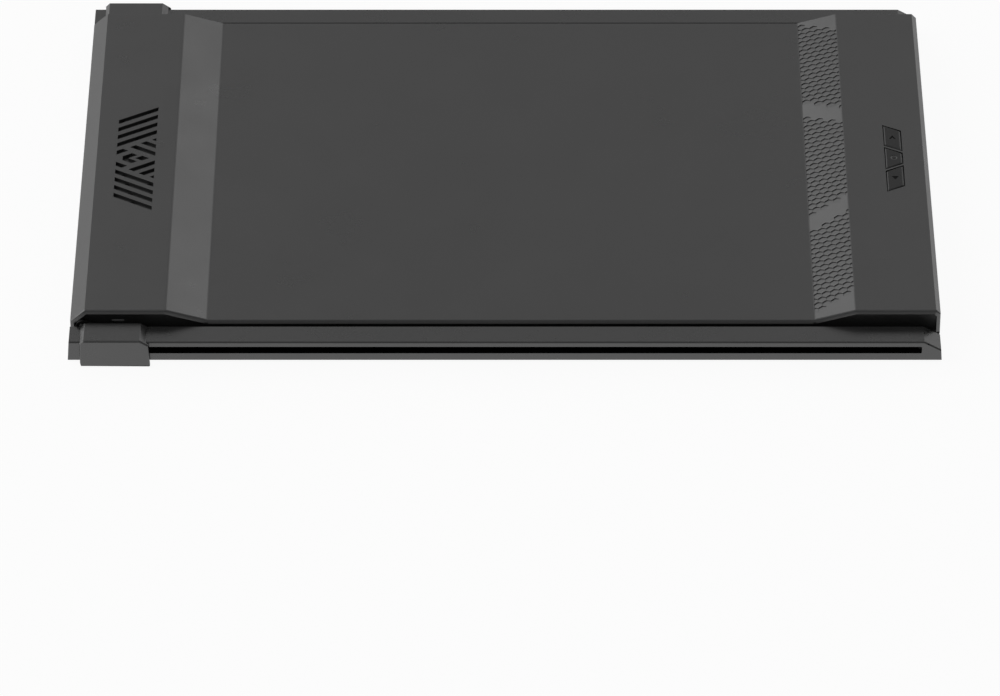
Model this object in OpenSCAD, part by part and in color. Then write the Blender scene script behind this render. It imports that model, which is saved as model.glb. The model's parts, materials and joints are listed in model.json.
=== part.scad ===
// Slide-out portable monitor that clips behind a laptop lid.
// A shallow tray carries a sliding carriage; the screen housing is hinged to
// the carriage, nests between the tray's rails and folds over to the left.
// Inside place(), x runs from the tray's left end, y from its middle and z
// from its underside; the part itself is centred, with its pads on z = 0.

/* [Tray] */
// Length of the tray along the slide
tray_w = 332.4; // [332:0.2:336]
// Depth of the tray from front to rear
tray_d = 222.2; // [222:0.1:222.4]
// Height of the rails
rail_h = 7.9; // [7.8:0.1:8]
// Width of each rail
rail_w = 9.8; // [9.7:0.1:10]
// How far the rails reach below the tray floor
rail_foot = 0.65; // [0.55:0.05:0.7]
// How far the ends of the rails lean in at the top, and out at the foot
end_draft = 0.3; // [0:0.1:0.4]
// Thickness of the tray floor
floor_t = 1.5; // [1.3:0.1:1.5]
// Thickness of the pads under the tray
pad_h = 2.8; // [2.6:0.1:3.4]
// Height of the guide slot in each rail
slot_h = 3.1; // [3:0.05:3.2]
// Length of the chamfer at the right end of each rail
rail_chamfer_x = 6.5; // [4:0.5:8]
// Drop of that chamfer
rail_chamfer_z = 3.8; // [2:0.2:4]

/* [Carriage] */
// Left edge of the saddles
saddle_x = 4.4; // [4.3:0.1:4.6]
// Length of the saddles along the rail
saddle_w = 26.4; // [26.2:0.1:26.6]
// How far a saddle stands out past the rail
saddle_out = 2; // [1.9:0.1:2.4]
// Thickness of a saddle above the rail
saddle_top = 1.85; // [1.8:0.05:2]
// How far a saddle reaches below the tray
saddle_drop = 2.2; // [2.1:0.1:2.4]
// Travel of the carriage along the tray
slide_travel = 298; // [290:1:298]

/* [Screen] */
// Depth of the screen housing
screen_d = 198.5; // [198:0.1:198.8]
// Height of the middle of the housing above the tray's underside
centre_top = 9.1; // [9.1:0.1:9.4]
// Height of the two raised ends
bulge_top = 13.7; // [13.6:0.1:13.8]
// Wall thickness of the housing
wall_t = 1.4; // [1.3:0.1:1.4]
// Width of the picture area
picture_w = 293.8; // [293:0.1:294]
// Depth of the picture area
picture_d = 165.2; // [164:0.1:166]
// Travel of the buttons
button_travel = 0.3; // [0.2:0.05:0.3]

/* [Vents] */
// Distance between vent slots from front to rear
vent_pitch = 5.15; // [5:0.05:5.3]
// Width of a vent slot from front to rear
vent_t = 2.6; // [2.3:0.05:2.7]
// Slope of the vent slots and of the slanted edges of the buttons
vent_slope = 0.58; // [0.56:0.01:0.6]

/* [Hidden] */
$fn = 48;
e = 0.01;                       // overshoot of cuts

// Places along x, from the tray's left end
screen_left = 0.3;
left_flat = [6, 36.9];          // flat top of the left raised end
centre_flat = [52.6, 284.4];    // flat middle
right_flat = [300.1, 330.7];    // flat top of the right raised end
screen_right = 332.5;
riser_x = 22.6;                 // where the underside steps down
hinge_x = 5;
saddle_end = saddle_x + saddle_w;
saddle_screw_x = [saddle_x + 6, saddle_end - 8];
shoe_x = [saddle_x + 7, saddle_x + 19];     // stem of the glide shoes
shoe_foot_x = [shoe_x[0] - 2.4, shoe_x[1] + 1.6];
bumper_t = 1;
guide_x = [shoe_foot_x[0] - bumper_t - 0.2, shoe_foot_x[1] + slide_travel + bumper_t + 1];

// Heights from the tray's underside
ledge_w = 6;                    // foot of a rail under the tray floor
ledge_t = 0.7;
slot_z = 2.55;
hinge_z = 8;
body_under = 2.1;               // underside of the screen's bezel
notch_under = 5;                // underside over the carriage's crossbar
bezel_t = 1.5;
notch_t = 0.8;
left_facet_z = 8.5;
right_facet_z = 11.8;
bulge_in = bulge_top - wall_t;
centre_in = centre_top - wall_t;

// Front and rear
rail_out = tray_d / 2;          // outer face of the rails
rail_in = rail_out - rail_w;
rail_edge = 0.5;                // chamfer along the top of its outer face
tray_screw_y = rail_in - 3;
saddle_screw_y = rail_out - 6;
saddle_gap = 0.12;              // between a saddle and the rail's top and foot
saddle_side = 0.9;              // between a saddle's outer wall and the rail
slot_back = rail_out - 2.6;     // where the slot opens into its channel
channel_back = rail_out - 6;
rim = 1.5;                      // lip around the ends of the cover
setback = 1.2;                  // how far the side walls stand behind it
side_out = screen_d / 2 - setback;
side_in = side_out - wall_t;
arm_t = 1.1;
arm_out = rail_in - 0.3;
arm_in = arm_out - arm_t;

// Panel: sheets stacked upwards from the glass
panel_x = [25, 325.2];
panel_d = 179;
picture_x = 28.2;
glass_z = 2.95;
glass_t = 1.1;
diffuser_t = 0.3;
guide_t = 0.6;
reflector_t = 0.2;
chassis_t = 0.3;
diffuser_z = glass_z + glass_t;
guide_z = diffuser_z + diffuser_t;
reflector_z = guide_z + guide_t;
chassis_z = reflector_z + reflector_t;
panel_top = chassis_z + chassis_t;

// Boards
main_x = [9, 34];
main_y = [-52, 52];
main_z = 7.2;
board_t = 1;
side_x = [301.5, 329.6];
side_y = [-78, 32];
side_z = 8.4;
port_y = [-66, -50];            // the two plug sockets
port_w = 8.9;
port_h = 3.2;
port_len = 6.3;
port_z = side_z - port_h / 2;

// Buttons: left and right edges, and the reach along y of the outer two and
// of the middle one; their slanted edges follow the vents
button_x = [315.8, 322.3];
outer_button = [8.75, 21.9];
middle_button = 7.1;
key_gap = 0.35;                 // around a key in its window
key_flange = key_gap + 0.25;    // how far a key's flange stands out under the cover
key_top = bulge_top + 0.1;
mark_depth = 0.25;
button_mid = (button_x[0] + button_x[1]) / 2;
button_y = [13.9, 0.4, -13.1];  // middles of the marks and the switches

// Hinge and fasteners
pin_r = 1;
pin_clear = 0.05;
eye_r = 2;
arm_eye_r = 2.2;
nut_r = 1.9;
boss_r = 2.1;
screw_r = 0.8;
head_r = 1.7;
bracket_t = 1.2;
bracket_out = side_in - 0.1;
bracket_in = bracket_out - bracket_t;
washer_t = 0.3;
nut_t = 1.4;
bezel_screw_y = 93.6;
bezel_screw_x = [60, 130, 200, 270, 322];
bracket_screw_x = [14, 20.5];
bracket_screw_y = 86;
crossbar_x = [11, 21.5];
crossbar_z = 2.2;
crossbar_t = 1.2;
crossbar_lip_z = 4.6;
felt_y = 60;
pad_at = [[-112, -72], [112, -72], [-112, 72], [112, 72]];
magnet_r = 5;
magnet_t = 1;
magnet_gap = 30;

// ---------------------------------------------------------------- helpers

module place() { translate([-tray_w / 2, 0, pad_h]) children(); }

// Copies a front piece to the rear
module rear() { mirror([0, 1, 0]) children(); }

module both_sides() {
    children();
    rear() children();
}

// Box from low and high corners
module block(low, high) { translate(low) cube(high - low); }

// Outline in x and z, swept from y0 to y1
module sweep(y0, y1) {
    translate([0, y1, 0]) rotate([90, 0, 0]) linear_extrude(y1 - y0) children();
}

// Flat outline in x and y, from z0 to z1
module slab(z0, z1) { translate([0, 0, z0]) linear_extrude(z1 - z0) children(); }

// Cylinder along y from y0 to y1
module rod_y(r, x, z, y0, y1) { translate([x, y1, z]) rotate([90, 0, 0]) cylinder(r = r, h = y1 - y0); }

module rod_z(r, x, y, z0, z1) { translate([x, y, z0]) cylinder(r = r, h = z1 - z0); }

module rounded_rect(w, d, r) {
    square([w - 2 * r, d], center = true);
    square([w, d - 2 * r], center = true);
    for (i = [-1, 1], j = [-1, 1]) translate([i * (w / 2 - r), j * (d / 2 - r)]) circle(r);
}

function unit(v) = v / norm(v);
function left_of(v) = [-v[1], v[0]];

// Open path moved by t to the right of its direction, with mitred corners
function inset(path, t) = let (last = len(path) - 1) [
    for (i = [0:last])
        let (a = unit(path[max(i, 1)] - path[max(i, 1) - 1]),
             b = unit(path[min(i + 1, last)] - path[min(i + 1, last) - 1]),
             na = -left_of(a), nb = -left_of(b))
        path[i] + t * (na + nb) / (1 + na * nb)
];

// ---------------------------------------------------------------- tray

module tray_plate() {
    color("#3f3f40") place() difference() {
        union() {
            block([0, -rail_in + ledge_w, 0], [tray_w, rail_in - ledge_w, floor_t]);
            block([0, -rail_in, ledge_t], [tray_w, rail_in, floor_t]);
        }
        for (p = pad_at, i = [-1, 1])
            translate([tray_w / 2 + p[0] + i * magnet_gap / 2, p[1], -e])
                cylinder(r = magnet_r + 0.1, h = magnet_t + e);
        both_sides() for (x = tray_screw_x()) rod_z(screw_r, x, -tray_screw_y, 0, floor_t + e);
    }
}

function tray_screw_x() = [for (i = [0:5]) 16 + i * (tray_w - 32) / 5];

// Rail section in y and z, y = 0 on its outer face
module rail_section() {
    polygon([[0, -rail_foot], [rail_w, -rail_foot], [rail_w, 0], [rail_w + ledge_w, 0],
             [rail_w + ledge_w, ledge_t], [rail_w, ledge_t], [rail_w, rail_h],
             [rail_edge, rail_h], [0, rail_h - rail_edge]]);
}

// How far the end of a rail stands out past the floor at height z
function lean(z) = end_draft * (1 - 2 * (z + rail_foot) / (rail_h + rail_foot));

// Side view of a rail in x and z, with room above and below it
module rail_side() {
    shoulder = rail_h - rail_chamfer_z;
    low = -rail_foot - 1;
    high = rail_h + 1;
    polygon([[-lean(low), low], [tray_w + lean(low), low], [tray_w + lean(shoulder), shoulder],
             [tray_w - rail_chamfer_x, rail_h], [tray_w - rail_chamfer_x, high], [-lean(high), high]]);
}

// Takes the edge off the chamfer at the right end, in line with the top's
module rail_end_edge() {
    side = rail_edge * sqrt(2);
    reach = norm([rail_chamfer_x, rail_chamfer_z]) + 1;
    translate([tray_w - rail_chamfer_x, -rail_out, rail_h])
        rotate([0, atan2(rail_chamfer_z, rail_chamfer_x), 0])
            rotate([45, 0, 0]) translate([0, -side / 2, -side / 2]) cube([reach, side, side]);
}

// Guide slot: a narrow mouth with a wider channel behind it
module guide_slot() {
    mid = [(guide_x[0] + guide_x[1]) / 2, slot_z + slot_h / 2];
    sweep(-rail_out - e, -slot_back) translate(mid) rounded_rect(guide_x[1] - guide_x[0], slot_h, 0.5);
    block([guide_x[0], -slot_back - 0.1, slot_z - 1], [guide_x[1], -channel_back, slot_z + slot_h + 1]);
}

module rail() {
    place() difference() {
        intersection() {
            translate([-1, -rail_out, 0]) rotate([90, 0, 90]) linear_extrude(tray_w + 2) rail_section();
            sweep(-rail_out - 1, -rail_in + ledge_w + 1) rail_side();
        }
        guide_slot();
        rail_end_edge();
        for (x = tray_screw_x()) {
            rod_z(screw_r, x, -tray_screw_y, -e, ledge_t + e);
            rod_z(head_r, x, -tray_screw_y, -e, 0.35);
        }
    }
}

module front_rail() { color("#4c4c4d") rail(); }
module rear_rail() { color("#4c4c4d") rear() rail(); }

module tray_screws() {
    color("#2a2a2b") place() both_sides() for (x = tray_screw_x()) difference() {
        union() {
            rod_z(screw_r, x, -tray_screw_y, 0, floor_t - 0.1);
            rod_z(head_r, x, -tray_screw_y, 0.02, 0.35);
        }
        rod_z(0.5, x, -tray_screw_y, -e, 0.2);
    }
}

// Rubber stops inside both ends of both guide slots
module rail_bumpers() {
    color("#1c1c1c") place() both_sides() for (x = [guide_x[0], guide_x[1] - bumper_t])
        block([x, -slot_back, slot_z - 0.8], [x + bumper_t, -channel_back - 0.1, slot_z + slot_h + 0.8]);
}

// Strips that keep the bezel off the tray floor
module felt_strips() {
    color("#262626") place() both_sides()
        block([34, -felt_y - 4, floor_t], [tray_w - 6, -felt_y + 4, floor_t + 0.5]);
}

module tray_magnets() {
    color("#b4b6b8") place() for (p = pad_at, i = [-1, 1])
        rod_z(magnet_r, tray_w / 2 + p[0] + i * magnet_gap / 2, p[1], 0, magnet_t);
}

module mounting_pads() {
    color("#202021") place() for (p = pad_at)
        slab(-pad_h, 0) translate([tray_w / 2 + p[0], p[1]]) rounded_rect(64, 20, 4);
}

// ---------------------------------------------------------------- carriage

// Saddle: outer wall with chamfered top corners, a top over the rail and a
// lip under it
module saddle() {
    x0 = saddle_x;
    x1 = saddle_end;
    top = rail_h + saddle_top;
    under = rail_h + saddle_gap;
    left = [1.55, 1.6];         // chamfers of the top corners, along x and z
    right = [3.3, 2.3];
    ends = [0.1, 1.1];          // how far the top stops short of the outer wall
    wall_in = -rail_out - saddle_side;
    place() difference() {
        union() {
            sweep(-rail_out - saddle_out, wall_in)
                polygon([[x0, top - left[1]], [x0 + left[0], top], [x1 - right[0], top], [x1, top - right[1]],
                         [x1 + 0.3, 0.3 - saddle_drop], [x1, -saddle_drop], [x0 + 0.7, -saddle_drop],
                         [x0 + 0.4, 0.2 - saddle_drop], [x0, 1.5 - saddle_drop]]);
            sweep(wall_in - e, -rail_in - 0.4)
                polygon([[x0 + ends[0], under], [x0 + ends[0], top - left[1] * (1 - ends[0] / left[0])],
                         [x0 + left[0], top], [x1 - right[0], top],
                         [x1 - ends[1], top - right[1] * (1 - ends[1] / right[0])], [x1 - ends[1], under]]);
            block([x0 + 1, wall_in - e, -saddle_drop], [x1 - 1, 4 - rail_out, -rail_foot - saddle_gap]);
        }
        // pockets for the flange of the hinge arm and for the stem of the shoe
        block([x0 + 3, 1.4 - rail_out, rail_h], [x1 - 5, -rail_in, rail_h + 0.9]);
        block([shoe_x[0], wall_in - 0.5, slot_z + 0.1], [shoe_x[1], wall_in + e, slot_z + slot_h - 0.1]);
        for (x = saddle_screw_x) rod_z(0.6, x, -saddle_screw_y, rail_h, rail_h + 1.4);
    }
}

module front_saddle() { color("#4b4b4c") saddle(); }
module rear_saddle() { color("#4b4b4c") rear() saddle(); }

// T-shaped shoe that runs in the guide slot
module glide_shoe() {
    place() {
        block([shoe_x[0], -rail_out - saddle_side - 0.5, slot_z + 0.1],
              [shoe_x[1], -slot_back + 0.2, slot_z + slot_h - 0.1]);
        block([shoe_foot_x[0], -slot_back + 0.15, slot_z - 0.8],
              [shoe_foot_x[1], -channel_back - 0.2, slot_z + slot_h + 0.8]);
    }
}

module front_glide_shoe() { color("#d8d8d2") glide_shoe(); }
module rear_glide_shoe() { color("#d8d8d2") rear() glide_shoe(); }

// Steel arm: flange over the rail, upright in the gap beside the screen, and
// an eye for the hinge pin
module hinge_arm() {
    x0 = saddle_x + 3.1;
    x1 = saddle_end - 5.1;
    flange = [rail_h + 0.1, rail_h + 0.88];
    place() difference() {
        union() {
            block([x0, 1.5 - rail_out, flange[0]], [x1, -arm_in, flange[1]]);
            sweep(-arm_out, -arm_in) {
                polygon([[hinge_x, hinge_z - arm_eye_r], [hinge_x, hinge_z + arm_eye_r],
                         [x0 + 2.1, flange[1]], [x1, flange[1]], [x1, crossbar_z],
                         [crossbar_x[0], crossbar_z]]);
                translate([hinge_x, hinge_z]) circle(arm_eye_r);
            }
        }
        rod_y(pin_r, hinge_x, hinge_z, -arm_out - 1, -arm_in + 1);
        for (x = saddle_screw_x) rod_z(0.7, x, -saddle_screw_y, rail_h, rail_h + 1);
    }
}

module front_hinge_arm() { color("#6c6e70") hinge_arm(); }
module rear_hinge_arm() { color("#6c6e70") rear() hinge_arm(); }

module saddle_screws() {
    color("#8c8e90") place() both_sides() for (x = saddle_screw_x)
        rod_z(0.6, x, -saddle_screw_y, rail_h + 0.12, rail_h + 1.35);
}

// Channel-shaped bar that joins the two arms under the screen
module crossbar() {
    color("#6c6e70") place() {
        block([crossbar_x[0], -arm_in, crossbar_z], [crossbar_x[1], arm_in, crossbar_z + crossbar_t]);
        for (x = [crossbar_x[0], crossbar_x[1] - 1])
            block([x, -arm_in, crossbar_z + crossbar_t - e], [x + 1, arm_in, crossbar_lip_z]);
    }
}

// Sliding feet under the crossbar
module crossbar_glides() {
    color("#dcdcd6") place() for (y = [-88, -22, 22, 88])
        slab(floor_t + 0.05, crossbar_z) translate([(crossbar_x[0] + crossbar_x[1]) / 2, y])
            rounded_rect(8, 12, 2);
}

module hinge_pins() {
    color("#a8aaac") place() both_sides() {
        rod_y(pin_r, hinge_x, hinge_z, -arm_out, -bracket_in + washer_t + nut_t + 0.3);
    }
}

module hinge_nuts() {
    y0 = -bracket_in + washer_t + 0.05;
    color("#a8aaac") place() both_sides() difference() {
        rod_y(nut_r, hinge_x, hinge_z, y0, y0 + nut_t);
        rod_y(pin_r, hinge_x, hinge_z, y0 - 1, y0 + nut_t + 1);
        for (s = [-1, 1]) block([hinge_x - 0.3, y0 + nut_t - 0.5, hinge_z + s * 1.7 - 0.4],
                                [hinge_x + 0.3, y0 + nut_t + 1, hinge_z + s * 1.7 + 0.4]);
    }
}

// ---------------------------------------------------------------- screen housing

// Upper outline of the housing, from the left end over to the right end
function skin_path(low) = [
    [screen_left, low], [screen_left, left_facet_z], [left_flat[0], bulge_top],
    [left_flat[1], bulge_top], [centre_flat[0], centre_top], [centre_flat[1], centre_top],
    [right_flat[0], bulge_top], [right_flat[1], bulge_top], [screen_right, right_facet_z],
    [screen_right, low]
];

// Lower edge of the cover, from the right end back to the left
function cover_foot() = [
    [screen_right, body_under + bezel_t], [riser_x + wall_t, body_under + bezel_t],
    [riser_x + wall_t, notch_under + notch_t], [screen_left, notch_under + notch_t]
];

function inner_path(t) = inset(skin_path(-5), t);

module cover_outline() { polygon(concat(skin_path(notch_under + notch_t), cover_foot())); }

module hollow(y0, y1, t) { sweep(y0, y1) polygon(inner_path(t)); }

// One vent slot; the ends are cut along y, or along the slope given
function strip(x0, x1, y0, slope, cut0, cut1) = let (
    h = vent_t / 2,
    d0 = cut0 == 0 ? 0 : h / (cut0 - slope),
    d1 = cut1 == 0 ? 0 : h / (cut1 - slope),
    y1 = y0 + slope * (x1 - x0)
) [
    [x0 - d0, y0 - slope * d0 - h], [x1 - d1, y1 - slope * d1 - h],
    [x1 + d1, y1 + slope * d1 + h], [x0 + d0, y0 + slope * d0 + h]
];

// Half of the vent field: slots fan out to the rear, with short slots of the
// other slope filling the corner beside them and half an arrow on the middle
module vent_half() {
    s = vent_slope;
    x0 = 13.7;
    x1 = 29;
    first = 8.8;                // where the longest slots start at x0
    side = [2.8, 7.8];          // where the two filling slots end at x1
    for (k = [0:3]) polygon(strip(x0, x1, first + k * vent_pitch, s, 0, 0));
    polygon(strip(x0, 17.2, first - vent_pitch, s, 0, -s));
    intersection() {
        polygon(strip(16.2, 20.9, 0, s, 0, -s));
        translate([x0, 0]) square([x1 - x0, first]);
    }
    polygon(strip(19.9, x1, side[0] + s * (x1 - 19.9), -s, s, 0));
    polygon(strip(24, x1, side[1] + s * (x1 - 24), -s, s, 0));
    polygon([[x1 - 1.7, 12.4], [x1, 11.4], [x1, 13.4]]);
}

// The whole field, with a diamond in the mouth of the arrow
module vents() {
    slab(bulge_in - 1, bulge_top + 1) {
        vent_half();
        mirror([0, 1]) vent_half();
        translate([23.9, 0]) polygon([[-2.8, 0], [0, -1.63], [2.8, 0], [0, 1.63]]);
    }
}

// Corners of a button; i = 0 is the rear one, 1 the middle, 2 the front
function button_outline(i, g) = let (
    xl = button_x[0] - g,
    xr = button_x[1] + g,
    d = vent_slope * (button_x[1] - button_x[0]),
    near = outer_button[0] - g,
    far = outer_button[1] + g,
    mid = middle_button + g
) i == 0 ? [[xl, near], [xr, near - d], [xr, far - d], [xl, far]]
  : i == 1 ? [[xl, -mid], [xr, d - mid], [xr, mid - d], [xl, mid]]
  : [[xl, -far], [xr, d - far], [xr, d - near], [xl, -near]];

function bezel_bosses() = concat(
    [for (x = bezel_screw_x, s = [-1, 1]) [x, s * bezel_screw_y]],
    [for (y = [-85, 60]) [328.3, y]]
);

function main_bosses() = [for (x = [main_x[0] + 3, main_x[1] - 3], s = [-1, 1]) [x, s * 48]];
function side_bosses() = [[305, -74], [305, 28], [326, 28]];

module rear_cover() {
    half = screen_d / 2;
    low = body_under + bezel_t;
    color("#4c4c4d") place() difference() {
        union() {
            difference() {
                sweep(-half, half) cover_outline();
                hollow(-half - 1, -side_out, rim);
                hollow(side_out, half + 1, rim);
                hollow(-side_in, side_in, wall_t);
            }
            for (p = bezel_bosses()) rod_z(boss_r, p[0], p[1], low, p[0] < 280 ? centre_in + 0.2 : 9);
            for (p = bezel_bosses()) if (p[0] > 280)
                rod_z(boss_r, p[0], p[1], 8.9, p[0] > 300 ? bulge_in + 0.2 : centre_in);
            for (p = main_bosses()) rod_z(boss_r, p[0], p[1], main_z + board_t, bulge_in + 0.2);
            for (p = side_bosses()) rod_z(boss_r, p[0], p[1], side_z + board_t, bulge_in + 0.2);
            both_sides() for (x = bracket_screw_x)
                rod_z(boss_r, x, -bracket_screw_y, 7.6, bulge_in + 0.2);
        }
        vents();
        for (i = [0:2]) slab(bulge_in - 1, bulge_top + 1) polygon(button_outline(i, key_gap));
        for (p = bezel_bosses()) rod_z(screw_r, p[0], p[1], low - 1, low + 3.2);
        for (p = main_bosses()) rod_z(screw_r, p[0], p[1], main_z, main_z + board_t + 2);
        for (p = side_bosses()) rod_z(screw_r, p[0], p[1], side_z, side_z + board_t + 2);
        both_sides() {
            for (x = bracket_screw_x) rod_z(screw_r, x, -bracket_screw_y, 7, 10.6);
            rod_y(pin_r + 0.5, hinge_x, hinge_z, -side_out - 1, -side_in + 1);
        }
        for (y = port_y) translate([screen_right, y, port_z]) rotate([90, 0, 90])
            translate([0, 0, -wall_t - 1]) linear_extrude(wall_t + 2)
                rounded_rect(port_w + 0.4, port_h + 0.4, 1.7);
        light_window(0);
    }
}

// Window for the status light in the front wall
module light_window(g) {
    block([16.3 + g, -side_out - (g > 0 ? 0.05 : 1), 8.2 + g], [20.9 - g, -side_in + 1.5, 8.9 - g]);
}

module status_light_pipe() {
    color("#c9ccd0") place() {
        light_window(0.03);
        block([17.4, -side_in + 1.5 - e, 8.23], [19.8, -side_in + 3.4, 8.87]);
    }
}

module front_bezel() {
    low = body_under;
    high = body_under + bezel_t;
    step = riser_x + wall_t;
    picture_mid = picture_x + picture_w / 2;
    color("#232324") place() difference() {
        sweep(-side_out, side_out)
            polygon([[screen_left, notch_under], [riser_x, notch_under], [riser_x, low],
                     [screen_right, low], [screen_right, high], [step, high],
                     [step, notch_under + notch_t], [screen_left, notch_under + notch_t]]);
        slab(low - 1, high + 1) translate([picture_mid, 0])
            square([picture_w + 1, picture_d + 1], center = true);
        block([panel_x[0] - 0.2, -panel_d / 2 - 0.2, glass_z - 0.05],
              [panel_x[1] + 0.2, panel_d / 2 + 0.2, high + 1]);
        for (p = bezel_bosses()) {
            rod_z(screw_r + 0.1, p[0], p[1], low - e, high + e);
            rod_z(head_r + 0.1, p[0], p[1], low - e, low + 0.8);
        }
    }
}

module bezel_screws() {
    low = body_under;
    color("#1f1f20") place() for (p = bezel_bosses()) difference() {
        union() {
            rod_z(screw_r, p[0], p[1], low + 0.4, low + 4.4);
            rod_z(head_r, p[0], p[1], low + 0.1, low + 0.8);
        }
        rod_z(0.8, p[0], p[1], low - e, low + 0.5, $fn = 6);
    }
}

// ---------------------------------------------------------------- panel

module panel_sheet(z, t, margin) {
    block([panel_x[0] + margin, -panel_d / 2 + margin, z],
          [panel_x[1] - margin, panel_d / 2 - margin, z + t]);
}

module panel_glass() { color("#0d0e10") place() panel_sheet(glass_z, glass_t, 0); }
module diffuser_sheet() { color("#eef0f0") place() panel_sheet(diffuser_z, diffuser_t, 1); }
module reflector_sheet() { color("#f4f4f4") place() panel_sheet(reflector_z, reflector_t, 1); }

module light_guide() {
    color("#dfe8ea") place()
        block([panel_x[0] + 1, -panel_d / 2 + 4, guide_z],
              [panel_x[1] - 1, panel_d / 2 - 1, guide_z + guide_t]);
}

// Strip board along the front edge of the light guide, with its lamps
module led_strip() {
    color("#e8e2b8") place() {
        block([panel_x[0] + 6, -panel_d / 2 + 1, guide_z],
              [panel_x[1] - 6, -panel_d / 2 + 2, guide_z + guide_t]);
        for (i = [0:23]) block([panel_x[0] + 12 + i * 12, -panel_d / 2 + 2, guide_z + 0.05],
                               [panel_x[0] + 15 + i * 12, -panel_d / 2 + 3.9, guide_z + guide_t - 0.05]);
    }
}

// Folded metal pan behind the sheets
module panel_chassis() {
    color("#a9abad") place() difference() {
        block([panel_x[0], -panel_d / 2, diffuser_z], [panel_x[1], panel_d / 2, panel_top]);
        block([panel_x[0] + 0.4, -panel_d / 2 + 0.4, diffuser_z - 1],
              [panel_x[1] - 0.4, panel_d / 2 - 0.4, chassis_z]);
    }
}

// Foam strips between the panel and the cover
module panel_cushions() {
    color("#2b2b2b") place() for (x = [70, 165, 260], y = [[-70, -42], [-20, 70]])
        block([x, y[0], panel_top], [x + 10, y[1], centre_in]);
}

// ---------------------------------------------------------------- electronics

module board_plate(x, y, z, holes) {
    difference() {
        block([x[0], y[0], z], [x[1], y[1], z + board_t]);
        for (p = holes) rod_z(screw_r + 0.2, p[0], p[1], z - 1, z + board_t + 1);
    }
}

module main_board() { color("#1f4d3a") place() board_plate(main_x, main_y, main_z, main_bosses()); }

module side_board() { color("#1f4d3a") place() board_plate(side_x, side_y, side_z, side_bosses()); }

// Chips on the main board: display controller, memory, power stage and the
// two connectors
module board_chips() {
    z = main_z + board_t;
    color("#18191a") place() {
        block([14, -8, z], [28, 6, z + 1.1]);
        block([15, 14, z], [26, 24, z + 1]);
        for (i = [0:2]) block([15, -22 - i * 8, z], [20, -17 - i * 8, z + 1.2]);
        block([29, -40, z], [33, -14, z + 1]);
        block([29, 20, z], [33, 40, z + 1]);
    }
}

module thermal_pads() {
    z = main_z + board_t;
    color("#8f97a3") place() {
        block([14, -8, z + 1.1], [28, 6, z + 1.6]);
        block([15, 14, z + 1], [26, 24, z + 1.6]);
    }
}

// Heat sink under the vents
module heat_sink() {
    z = main_z + board_t + 1.6;
    color("#5d6063") place() {
        block([12, -34, z], [31, 34, z + 0.6]);
        for (i = [0:12]) block([12.5, -33.6 + i * 5.5, z + 0.59], [30.5, -32.8 + i * 5.5, bulge_in - 0.8]);
    }
}

module vent_mesh() {
    color("#0b0b0c") place() difference() {
        block([11, -37, bulge_in - 0.4], [31.5, 37, bulge_in]);
        for (i = [0:11]) block([13, -34.4 + i * 6, bulge_in - 1], [29.5, -33.4 + i * 6, bulge_in + 1]);
    }
}

module board_screws() {
    color("#b0b2b4") place() {
        for (p = main_bosses()) {
            rod_z(screw_r, p[0], p[1], main_z - e, main_z + board_t + 1.9);
            rod_z(head_r, p[0], p[1], main_z - 0.8, main_z);
        }
        for (p = side_bosses()) {
            rod_z(screw_r, p[0], p[1], side_z - e, side_z + board_t + 1.9);
            rod_z(head_r, p[0], p[1], side_z - 0.8, side_z);
        }
    }
}

// Flat cable from the main board round to the back of the panel
module panel_cable() {
    color("#3a3426") place() {
        block([30, 22, main_z + board_t + 1], [34.5, 38, main_z + board_t + 1.2]);
        block([34.3, 22, panel_top + 0.2], [34.5, 38, main_z + board_t + 1.2]);
        block([34.3, 22, panel_top + 0.2], [52, 38, panel_top + 0.4]);
    }
}

// Flat cable along the middle of the cover to the side board
module side_cable() {
    t = 0.2;
    y = [-38, -24];
    high = main_z + board_t + 1;
    low = panel_top + 1.2;
    color("#3a3426") place() {
        block([30, y[0], high], [36, y[1], high + t]);
        block([36 - t, y[0], low], [36, y[1], high + t]);
        block([36 - t, y[0], low], [300, y[1], low + t]);
        block([300 - t, y[0], low], [300, y[1], side_z]);
        block([300 - t, y[0], side_z - t], [306, y[1], side_z]);
    }
}

module tact_switches() {
    z = side_z + board_t;
    color("#9fa1a3") place() for (y = button_y) translate([button_mid, y, z]) {
        translate([-2.2, -2.2, 0]) cube([4.4, 4.4, 0.8]);
        cylinder(r = 0.9, h = 1);
    }
}

module plug_sockets() {
    color("#b9bbbd") place() for (y = port_y) translate([screen_right - 0.3, y, port_z])
        rotate([90, 0, -90]) difference() {
            linear_extrude(port_len) rounded_rect(port_w, port_h, 1.55);
            translate([0, 0, -e]) linear_extrude(port_len - 0.6) difference() {
                rounded_rect(port_w - 0.6, port_h - 0.6, 1.25);
                square([6.6, 0.7], center = true);
            }
        }
}

// ---------------------------------------------------------------- screen side of the hinge

module hinge_bracket() {
    place() difference() {
        union() {
            sweep(-bracket_out, -bracket_in) {
                polygon([[hinge_x, hinge_z - eye_r], [24, 6.6], [24, 9.6], [hinge_x, hinge_z + eye_r]]);
                translate([hinge_x, hinge_z]) circle(eye_r);
            }
            block([10.5, -bracket_in - e, 6.6], [24, -82.5, 7.6]);
        }
        rod_y(pin_r + pin_clear, hinge_x, hinge_z, -bracket_out - 1, -bracket_in + 1);
        for (x = bracket_screw_x) rod_z(screw_r + 0.1, x, -bracket_screw_y, 6, 9);
        block([15.8, -bracket_out - 1, 7.8], [21.4, -bracket_in + 1, 12]);
    }
}

module front_hinge_bracket() { color("#77797b") hinge_bracket(); }
module rear_hinge_bracket() { color("#77797b") rear() hinge_bracket(); }

module hinge_washers() {
    color("#c2a25a") place() both_sides() difference() {
        rod_y(nut_r, hinge_x, hinge_z, -bracket_in, -bracket_in + washer_t);
        rod_y(pin_r + pin_clear, hinge_x, hinge_z, -bracket_in - 1, -bracket_in + 1);
    }
}

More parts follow.
